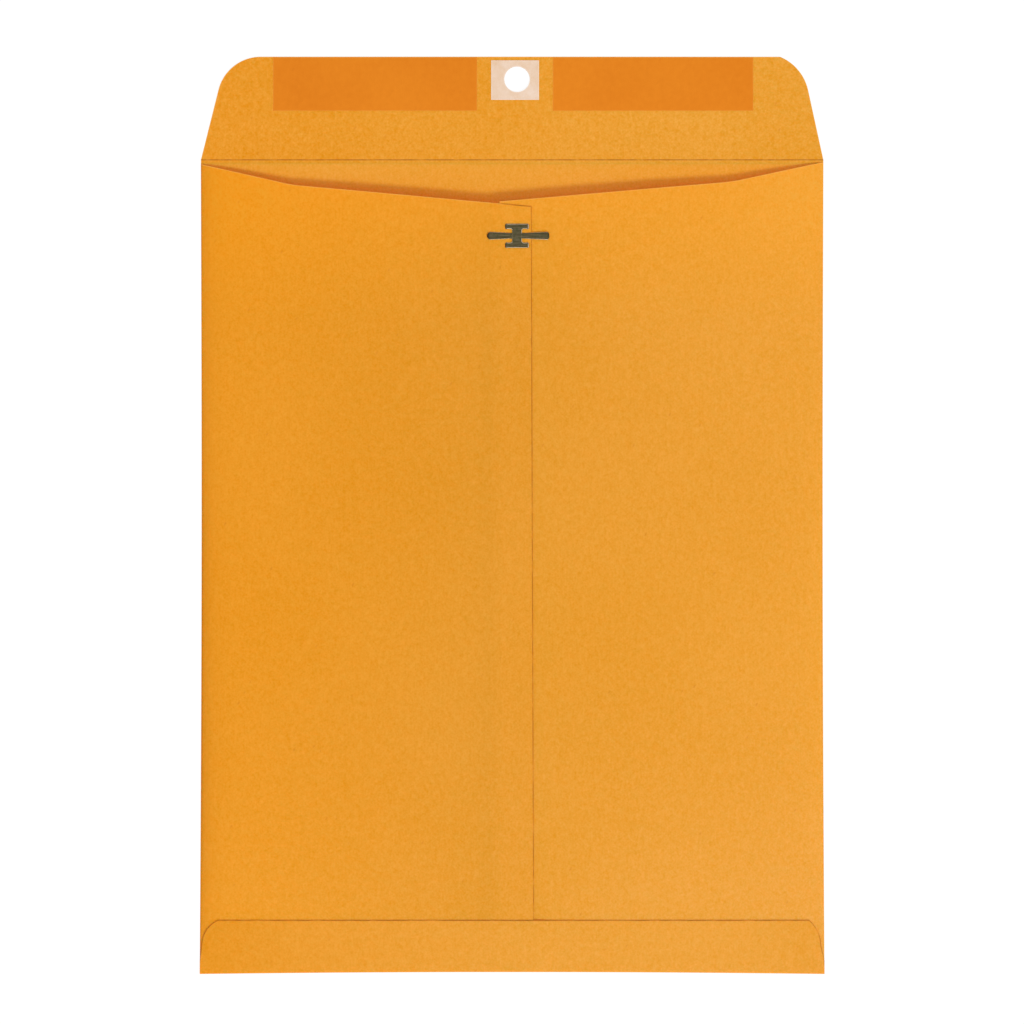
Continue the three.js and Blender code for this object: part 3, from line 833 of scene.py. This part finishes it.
def finishPocketSheet(piece, material, node, lifted=1.0, crownRound=mouth["round"]):
    shapeBy(pocketTree, piece, {**pocket, "Crown Round": crownRound, "Lifted": lifted, "Material": material})
    finishMesh(piece)
    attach(piece, "envelope")
    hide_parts(node)
    print(piece.name, len(piece.data.vertices), "points")


finishPocketSheet(
    sidePanel("leftPanelPaper", -1, seamX, seam["topX"]),
    kraftMaterial("kraftLeftPanel", 1.0, (-halfWidth, (238, 153, 31)), (innerLapX - 4 * mm, (229, 152, 42)),
                  (innerLapX + 2.5 * mm, (235, 154, 45)),  # painted light: lighter over the two laps, where less light comes through
                  lightTints=backLightTints),
    "left_side_panel", crownRound=mouth["leftRound"])
finishPocketSheet(
    sidePanel("rightPanelPaper", 1, lambda y: innerLapX, innerLapX),
    kraftMaterial("kraftRightPanel", 2.0, (0, (232, 155, 45)), (halfWidth, (236, 160, 54)), lightTints=backLightTints),
    "right_side_panel", crownRound=mouth["rightRound"])


def rectangleSheet(name, x0, x1, y0, y1, low, high, cell, near=(), folded=False):
    width, length = x1 - x0, y1 - y0
    across, along = np.meshgrid(stations(width, cell, near, near), stations(length, cell, near, near))
    x, y = x0 + across * width, y0 + along * length
    edge = edgeMask(across * width, (1 - across) * width, along * length, (1 - along) * length)
    return makeSheet(name, xyz(x, y, high(x)), xyz(x, y, low(x)), {} if folded else {"cutEdge": edge})


finishPocketSheet(
    rectangleSheet("facePanelPaper", -foldX, foldX, flapStartY, neckY,
                   lambda x: 0, lambda x: thickness, paper["cell"], folded=True),
    kraftMaterial("kraftFacePanel", 3.0, (-halfWidth, (230, 159, 50)), (halfWidth, (232, 161, 56))),
    "face_panel", lifted=0.0)

# Bottom flap, with its fold
bottom = {
    **lengths(depth=21.9,
              sideRise=5.7,  # fold up to where the flap's edge leaves the side
              cornerDrop=10.2,  # free edge down to the corner arcs' centres
              lineStart=1.4),
    "line": 0.9,  # strength of the painted shadow line along its edge
    "left": lengths(radius=11.05, inset=0.7), "right": lengths(radius=13.2, inset=1.4),
    "arcSteps": 14,
}


def bottomSideX(y, corner):
    radius, inset = corner["radius"], corner["inset"]
    centreX, centreY = halfWidth - inset - radius, foldY + bottom["depth"] - bottom["cornerDrop"]
    lean = np.clip((y - foldY - bottom["sideRise"]) / (centreY - foldY - bottom["sideRise"]), 0, 1)
    arc = centreX + np.sqrt(np.maximum(radius ** 2 - (y - centreY) ** 2, 0))
    return np.where(y < centreY, halfWidth - inset * lean, arc)


def cornerRows(form, centreY):
    # Mesh rows along a flap's two corner arcs
    rows = []
    for corner in (form["left"], form["right"]):
        top = math.asin(min(form["cornerDrop"] / corner["radius"], 1))
        angles = np.linspace(0, top, form["arcSteps"])
        rows += [centreY + corner["radius"] * math.sin(angle) for angle in angles]
    return rows


def spread(rows, sideX, form):
    # Points across a flap on each of its rows, and their distances from its two sides
    u = paperStations(2 * halfWidth)
    left, right = -sideX(rows, form["left"]), sideX(rows, form["right"])
    return left + (right - left) * u, u * (right - left), (1 - u) * (right - left)


def bottomFlapSheet():
    top = bottom["depth"] - paper["bottomFoldDepth"]
    rows = [top * share for share in paperStations(top, ())]
    rows = thinned(rows + cornerRows(bottom, top - bottom["cornerDrop"]))
    y = (flapStartY + rows)[:, None]
    x, fromLeft, fromRight = spread(y, bottomSideX, bottom)
    base = panelBase + lapStep
    turnX = -halfWidth + 2 * halfWidth * paperStations(2 * halfWidth)
    turns = turnSection(paper["bottomFoldDepth"], base + lapLift(turnX) + thickness)
    layers = []
    for (out, height), up in zip(turns, (thickness, 0)):
        layers.append(np.vstack([xyz(turnX, flapStartY - out, height), xyz(x, y, base + lapLift(x) + up)]))
    rise = bottom["sideRise"]
    # painted shadow line along the flap's free edge
    line = bottom["line"] * edgeMask(fromLeft, fromRight, y[-1] - y)
    line = line * smoothstep(y - foldY, rise - bottom["lineStart"], rise)
    turn = np.zeros((paper["foldSteps"], len(turnX)))
    return makeSheet("bottomFlapPaper", *layers, {"scoreLine": np.vstack([turn, line])})


finishPocketSheet(
    bottomFlapSheet(),
    kraftMaterial("kraftBottomFlap", 4.0, (-halfWidth, (236, 150, 34)), (0, (237, 159, 57))),
    "bottom_flap")

# Glue lines between the sheets
glue = {"thickness": 0.06 * mm, "cell": 4 * mm}
glueBase = panelBase + thickness + (paper["lapSpace"] - glue["thickness"]) / 2


def glueLine(name, node, lifted):
    low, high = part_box(node)

    def under(x):
        return glueBase + (lapLift(x) if lifted else 0)

    piece = rectangleSheet(name, low.x, high.x, low.y, high.y, under,
                           lambda x: under(x) + glue["thickness"], glue["cell"])
    finishPocketSheet(piece, gluePaint, node)


glueLine("seamGlue", "center_seam_glue", False)
glueLine("bottomFlapGlue", "bottom_flap_glue", True)
print("pocket made")

# Seal flap, measured from its crease
flap = {
    **lengths(depth=42.1, cornerDrop=17.75, creaseCell=0.12, creaseReach=1.1,
              bendReach=0.6,  # the paper turns within this of the crease
              scoreDepth=0.05, scoreWidth=0.19, holeDrop=32.9, holeRadius=5.2),
    "left": {"radius": 17.75 * mm, "slant": 0.25}, "right": {"radius": 19.2 * mm, "slant": 0.218},
    "upperCells": (0.6 * mm, 1.4 * mm), "arcSteps": 22, "holeSides": 96,
}


def flapSideX(drop, corner):
    # Half the flap's width at a distance from the crease
    radius, slant = corner["radius"], corner["slant"]
    centreY = flap["depth"] - flap["cornerDrop"]
    centreX = halfWidth - slant * centreY - radius * math.hypot(1, slant)
    tangent = centreY + radius * math.sin(math.atan(slant))
    arc = centreX + np.sqrt(np.maximum(radius ** 2 - (drop - centreY) ** 2, 0))
    return np.where(drop < tangent, halfWidth - slant * np.maximum(drop, 0), arc)


def flapRows():
    reach, cell = flap["creaseReach"], flap["creaseCell"]
    rows = list(np.linspace(-throat["sideDrop"], reach, round((reach + throat["sideDrop"]) / cell) + 1))
    upper = flap["depth"] - reach
    rows += [reach + upper * share for share in paperStations(upper, flap["upperCells"])]
    rows += cornerRows(flap, flap["depth"] - flap["cornerDrop"])
    return thinned([row for row in rows if row < flap["depth"] - paper["rowGap"]] + [flap["depth"]])


def scoreAt(drop):
    return np.exp(-(drop / flap["scoreWidth"]) ** 2)


def sealFlapSheet():
    drop = flapRows()[:, None]
    x, fromLeft, fromRight = spread(drop, flapSideX, flap)
    y = creaseY + drop
    edge = edgeMask(fromLeft, fromRight, flap["depth"] - drop)
    piece = makeSheet("sealFlapPaper", xyz(x, y, thickness - flap["scoreDepth"] * scoreAt(drop)),
                      xyz(x, y, 0), {"cutEdge": edge})
    cutBy(piece, roundCutter(claspX, creaseY + flap["holeDrop"], flap["holeRadius"], flap["holeSides"]))
    return piece


sealFlap = sealFlapSheet()
flapKraft = kraftMaterial("kraftSealFlap", 5.0, (-halfWidth, (229, 154, 39)), (halfWidth, (227, 160, 50)),
                          vary=1.05, line=(146, 98, 36))
shapeBy(cockleTree, sealFlap, {**cockle, "Material": flapKraft})
# painted shade in the crease's score
setMask(sealFlap, "scoreLine", scoreAt(pointsOf(sealFlap).reshape(-1, 3)[:, 1] - creaseY))
finishMesh(sealFlap)
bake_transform(sealFlap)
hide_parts("seal_flap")

# Gum strips and the patch round the hole
trim = {
    "sunk": 0.01 * mm, "gumCell": 2 * mm,
    "patchSide": 22, "patchRings": (0, 0.04, *np.linspace(0.12, 0.9, 9), 0.97, 1),
}


def finishFlapTrim(piece, material, node):
    shapeBy(cockleTree, piece, {**cockle, "Material": material})
    finishMesh(piece)
    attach(piece, "seal_flap")
    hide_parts(node)


def gumStrip(name, node):
    low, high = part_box(node)
    piece = rectangleSheet(name, low.x, high.x, low.y, high.y, lambda x: low.z - trim["sunk"],
                           lambda x: high.z, trim["gumCell"], paper["edgeCells"][:2])
    finishFlapTrim(piece, gumPaint, node)


def holePatch():
    low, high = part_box("hole_patch")
    corners = [(low.x, low.y), (high.x, low.y), (high.x, high.y), (low.x, high.y)]
    rim = np.concatenate([np.linspace(*ends, trim["patchSide"], endpoint=False) for ends in around(corners)])
    centre = np.array((claspX, creaseY + flap["holeDrop"]))
    way = rim - centre
    inner = centre + way / np.linalg.norm(way, axis=1, keepdims=True) * flap["holeRadius"]
    shares = np.array(trim["patchRings"])[::-1, None, None]
    flat = inner + shares * (rim - inner)  # rows run inwards, columns anticlockwise
    distance = np.minimum(shares[..., 0], 1 - shares[..., 0]) * np.linalg.norm(rim - inner, axis=1)
    piece = makeSheet("holePatchPaper", xyz(flat[..., 0], flat[..., 1], high.z),
                      xyz(flat[..., 0], flat[..., 1], low.z - trim["sunk"]),
                      {"cutEdge": edgeMask(distance)}, ringed=True)
    finishFlapTrim(piece, patchPaint, "hole_patch")


gumStrip("leftGumFilm", "left_gum_strip")
gumStrip("rightGumFilm", "right_gum_strip")
holePatch()
print("seal flap made")


# Clasp: an I of sheet metal whose four tangs go down through the laps and back under them

prong = {
    **lengths(rootWidth=2.2, tipWidth=3.1, bendReach=0.35,
              rootInside=0.9,  # length hidden in the stem
              sunk=0.012,  # the hidden root lies this far inside the stem's faces
              rim=0.2, tipFallLength=0.12),  # its edges fall away over these
    # painted dark reflection on each prong's tip, by strength
    "left": {"tipRadius": 1.5 * mm, "tarnish": 0.9}, "right": {"tipRadius": 0.95 * mm, "tarnish": 0.45},
    "steps": (15, 12, 10),  # at the bend, along it and round its tip
    "flatRows": (0.2, 0.6),  # shares of half its width
    "rimRow": 0.3,  # share of the rim that falls most
    "rimFall": (0, 0.02 * mm, 0.07 * mm),
    "rimBright": 1.5,  # width of the painted highlight along the edge, by the rim
    "brightAbove": 0.3,
    "brightTo": 0.35, "tarnishFrom": 0.1,  # shares of the tip's radius
}


def claspQuarter():
    stem = (stemSides[1] - stemSides[0]) / 2
    halfHeight, tangHalf = clasp["height"] / 2, clasp["tangWidth"] / 2
    barInner = halfHeight - clasp["barHeight"]
    radius, flareX = clasp["notchRadius"], barEnd - clasp["flareLength"]
    points = [(stem, 0), (stem, prong["rootWidth"] / 2)]
    for angle in np.radians(np.linspace(0, 90, clasp["notchSteps"])):
        points.append((stem + radius - radius * math.cos(angle),
                       barInner - radius + radius * math.sin(angle)))
    return points + [
        (flareX, barInner), (barEnd, barInner - clasp["barFlare"]),
        (barEnd, barY - tangHalf), (barEnd, barY + tangHalf),
        (barEnd, halfHeight + clasp["barFlare"] / 2), (flareX, halfHeight)]


def tangSections():
    # From the bar's end: outer point, inner point and half width of each section
    bend, metal, half = clasp["tangBend"], clasp["thickness"], clasp["tangWidth"] / 2
    legTop = -(clasp["seatClearance"] + 2 * thickness + paper["lapSpace"] + clasp["clinchClearance"])
    sections = []
    for centreZ, start, end in ((metal - bend, clasp["tangTurn"], 90), (legTop + bend - metal, 90, 180)):
        centre = np.array((barEnd, centreZ))
        for angle in np.radians(np.arange(start, end + 1, clasp["tangTurn"])):
            way = np.array((math.sin(angle), math.cos(angle)))
            sections.append((centre + bend * way, centre + (bend - metal) * way, half))
    for share, width in ((clasp["tangShoulder"], half), (1.0, clasp["tangPoint"] / 2)):
        x = barEnd - clasp["tangLength"] * share
        sections.append(((x, legTop - metal), (x, legTop), width))
    return sections


def addMetals(piece):
    for paint in (claspPaint, rimHighlightPaint):
        piece.data.materials.append(paint)


def claspBase():
    quarter = claspQuarter()
    right = [(x, -y) for x, y in quarter[:0:-1]] + quarter
    outline = right + [(-x, y) for x, y in right[::-1]]
    bm = bmesh.new()

    def vertex(x, y, z):
        return bm.verts.new((claspX + x, claspY + y, claspSeat + z))

    upper = [vertex(x, y, clasp["thickness"]) for x, y in outline]
    lower = [vertex(x, y, 0) for x, y in outline]
    face = bm.faces.new(upper)
    bm.faces.new(lower[::-1])
    for ((x0, y0), top0, low0), ((_, y1), top1, low1) in around(list(zip(outline, upper, lower))):
        ring = [top0, top1, low1, low0]
        isTang = abs(abs(x0) - barEnd) < 1e-9 and abs(abs(y0 - y1) - clasp["tangWidth"]) < 1e-9
        if not isTang:
            bm.faces.new(ring)
            continue
        side, middle, order = math.copysign(1, x0), (y0 + y1) / 2, math.copysign(1, y1 - y0)
        for outer, inner, half in tangSections():
            corners = ((outer, -order), (outer, order), (inner, order), (inner, -order))
            new = [vertex(side * x, middle + way * half, z) for (x, z), way in corners]
            for (a, d), (b, c) in around(list(zip(ring, new))):
                bm.faces.new((a, b, c, d))
            ring = new
        bm.faces.new(ring)
    bmesh.ops.recalc_face_normals(bm, faces=bm.faces)
    stemHalf = barY - clasp["barHeight"] / 2 - clasp["notchRadius"] / 2
    # Painted highlight: the band round the plate takes the bright metal, but stays dark at the prongs, the
    # tangs and the left stem, away from the lamp
    for band in bmesh.ops.inset_region(bm, faces=[face], thickness=clasp["rim"])["faces"]:
        place = band.calc_center_median() - Vector((claspX, claspY, 0))
        atProng = abs(place.y) < prong["rootWidth"] / 2
        atTang = abs(place.x) > barEnd - clasp["rim"]
        atLeftStem = place.x < 0 and abs(place.y) < stemHalf
        band.material_index = 0 if atProng or atTang or atLeftStem else 1
    for bend in bm.faces:  # painted highlight: the right ends' bends get the bright metal, where they catch the lamp
        if bend.calc_center_median().x - claspX > barEnd and bend.normal.z > 0.1:
            bend.material_index = 1
    piece = pieceFrom("claspBaseMetal", bm)
    addMetals(piece)
    bevel = piece.modifiers.new("roundedEdges", "BEVEL")
    bevel.width = clasp["edgeRound"]
    bevel.segments = clasp["edgeSteps"]
    bevel.limit_method = "ANGLE"
    bevel.angle_limit = math.radians(clasp["edgeAngle"])
    # painted highlight on the rounded edges
    bevel.material = 1
    settle(piece)
    finishMesh(piece, sharpAbove=30)
    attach(piece, "envelope")
    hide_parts("clasp_base")


def prongPiece(name, node, side, tipRadius, tarnish):
    low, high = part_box(node)
    stemX = stemSides[side > 0]
    length = abs((low.x if side < 0 else high.x) - stemX)
    tip, root = prong["tipWidth"] / 2, prong["rootWidth"] / 2
    bend = prong["bendReach"]
    tipStart = length - tipRadius
    bendSteps, lengthSteps, tipSteps = prong["steps"]
    tipTurn = tipStart + tipRadius * np.sin(np.radians(np.linspace(0, 90, tipSteps)))
    out = thinned([-prong["rootInside"], *np.linspace(-bend, bend, bendSteps),
                   *np.linspace(bend, tipStart, lengthSteps), *tipTurn], 0.01 * mm)
    half = root + (tip - root) * np.clip(out / tipStart, 0, 1)
    beyond = np.maximum(out - tipStart, 0)
    half = half - tipRadius + np.sqrt(np.maximum(tipRadius ** 2 - beyond ** 2, 0))
    inset = prong["rim"] / root
    rim = [1 - inset, 1 - inset * prong["rimRow"], 1]
    rows = np.array([*prong["flatRows"], *rim])
    rows = np.concatenate([-rows[::-1], rows])[:, None]
    fall, tipReach = prong["rimFall"], prong["tipFallLength"]
    tipFall = fall[-1] * np.clip((out - length + tipReach) / tipReach, 0, 1) ** 2
    drop = np.maximum(np.interp(np.abs(rows), rim, fall), tipFall) + prong["sunk"]
    x = stemX + side * out + 0 * rows
    y = claspY + rows * half
    top = claspTop - drop
    base = claspTop - clasp["thickness"] + drop
    along = (out > bend) & (out < tipStart + prong["brightTo"] * tipRadius)
    edge = edgeMask((1 - np.abs(rows)) * half, width=prong["rim"] * prong["rimBright"]) * along
    # painted dark reflection towards the tip
    paintedDark = tarnish * smoothstep(out, tipStart + prong["tarnishFrom"] * tipRadius, length) + 0 * x
    masks = {"cutEdge": edge, "tarnish": paintedDark}
    piece = makeSheet(name, xyz(x, y, top), xyz(x, y, base), masks, mirrored=side < 0)
    addMetals(piece)
    # Painted highlight: faces along the prong's edges take the bright metal
    for face in piece.data.polygons:
        values = [piece.data.attributes["cutEdge"].data[v].value for v in face.vertices]
        face.material_index = 1 if min(values) > prong["brightAbove"] else 0
    finishMesh(piece, sharpAbove=50)
    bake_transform(piece)
    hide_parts(node)


claspBase()
prongPiece("leftProngMetal", "left_prong", -1, **prong["left"])
prongPiece("rightProngMetal", "right_prong", 1, **prong["right"])
print("clasp made")

# Studio: white floor and world, one soft key lamp from the bottom of the photograph
studio = {
    "fill": 0.66,
    "keyShare": 0.39, "keyDistance": 7.0, "keySize": 1.6,
    "keyElevation": 42, "keyAzimuth": 32,  # turned towards +X from straight below
    "floorSize": 8.0, "floorDrop": 0.05 * mm, "floorColour": (0.9, 0.9, 0.9, 1), "floorGlow": 1.08,
    "shadowShare": 0.2,
}
view = {
    "centre": Vector((-0.06 * mm, 0.99 * mm, 2 * mm)),
    "distance": 1.6,
    "tilt": 0.95,  # degrees from straight down
    "frameWidth": 416.75 * mm,  # what the picture spans at the envelope
    "sensor": 36.0, "clip": (0.1, 20),
}


def seenDirectly(tree):
    path = addNode(tree, "LightPath").outputs
    either = calc("MAXIMUM", path["Is Camera Ray"], path["Is Glossy Ray"])
    return calc("MAXIMUM", either, path["Is Transmission Ray"])


world = bpy.data.worlds.new("studioWorld")
scene.world = world
world.use_nodes = True
back = world.node_tree.nodes["Background"].inputs
seen = seenDirectly(world.node_tree)
feed((1, 1, 1, 1), back["Color"])
feed(calc("MULTIPLY_ADD", seen, 1 - studio["fill"], studio["fill"]), back["Strength"])

half = studio["floorSize"] / 2
corners = [(-half, -half), (half, -half), (half, half), (-half, half)]
floor = makePiece("studioFloor", [(x, y, -studio["floorDrop"]) for x, y in corners], [(0, 1, 2, 3)])
floorPaint = bpy.data.materials.new("studioFloorWhite")
floorPaint.use_nodes = True
tree = floorPaint.node_tree
tree.nodes.clear()
matt = addNode(tree, "BsdfDiffuse", {"Color": studio["floorColour"]}).outputs[0]
white = addNode(tree, "Emission", {"Color": (1, 1, 1, 1), "Strength": studio["floorGlow"]}).outputs[0]
share = times(seenDirectly(tree), 1 - studio["shadowShare"])
mixed = outputsOf("MixShader", {0: share, 1: matt, 2: white})[0]
feed(mixed, addNode(tree, "OutputMaterial").inputs["Surface"])
floor.data.materials.append(floorPaint)
floor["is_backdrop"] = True

lamp = bpy.data.lights.new("keyLamp", "AREA")
lamp.shape = "SQUARE"
lamp.size = studio["keySize"]
up, turn = math.radians(studio["keyElevation"]), math.radians(studio["keyAzimuth"])
lamp.energy = studio["keyShare"] * math.pi ** 2 * studio["keyDistance"] ** 2 / math.sin(up)
lampHolder = linked("keyLamp", lamp)
way = Vector((math.cos(up) * math.sin(turn), -math.cos(up) * math.cos(turn), math.sin(up)))
lampHolder.location = view["centre"] + way * studio["keyDistance"]
lampHolder.rotation_mode = "QUATERNION"
lampHolder.rotation_quaternion = way.to_track_quat("Z", "Y")

camera = bpy.data.cameras.new("photoCamera")
camera.sensor_width = view["sensor"]
camera.lens = view["sensor"] * view["distance"] / view["frameWidth"]
camera.clip_start, camera.clip_end = view["clip"]
scene.camera = linked("photoCamera", camera)
tilt = math.radians(view["tilt"])
scene.camera.location = view["centre"] + Vector((0, -math.sin(tilt), math.cos(tilt))) * view["distance"]
scene.camera.rotation_euler = (tilt, 0, 0)
scene.view_settings.view_transform = "Standard"
print("studio made")

boxes = {"cad": cadBox, "visual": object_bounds()}
{name: [list(corner) for corner in box] for name, box in boxes.items()}
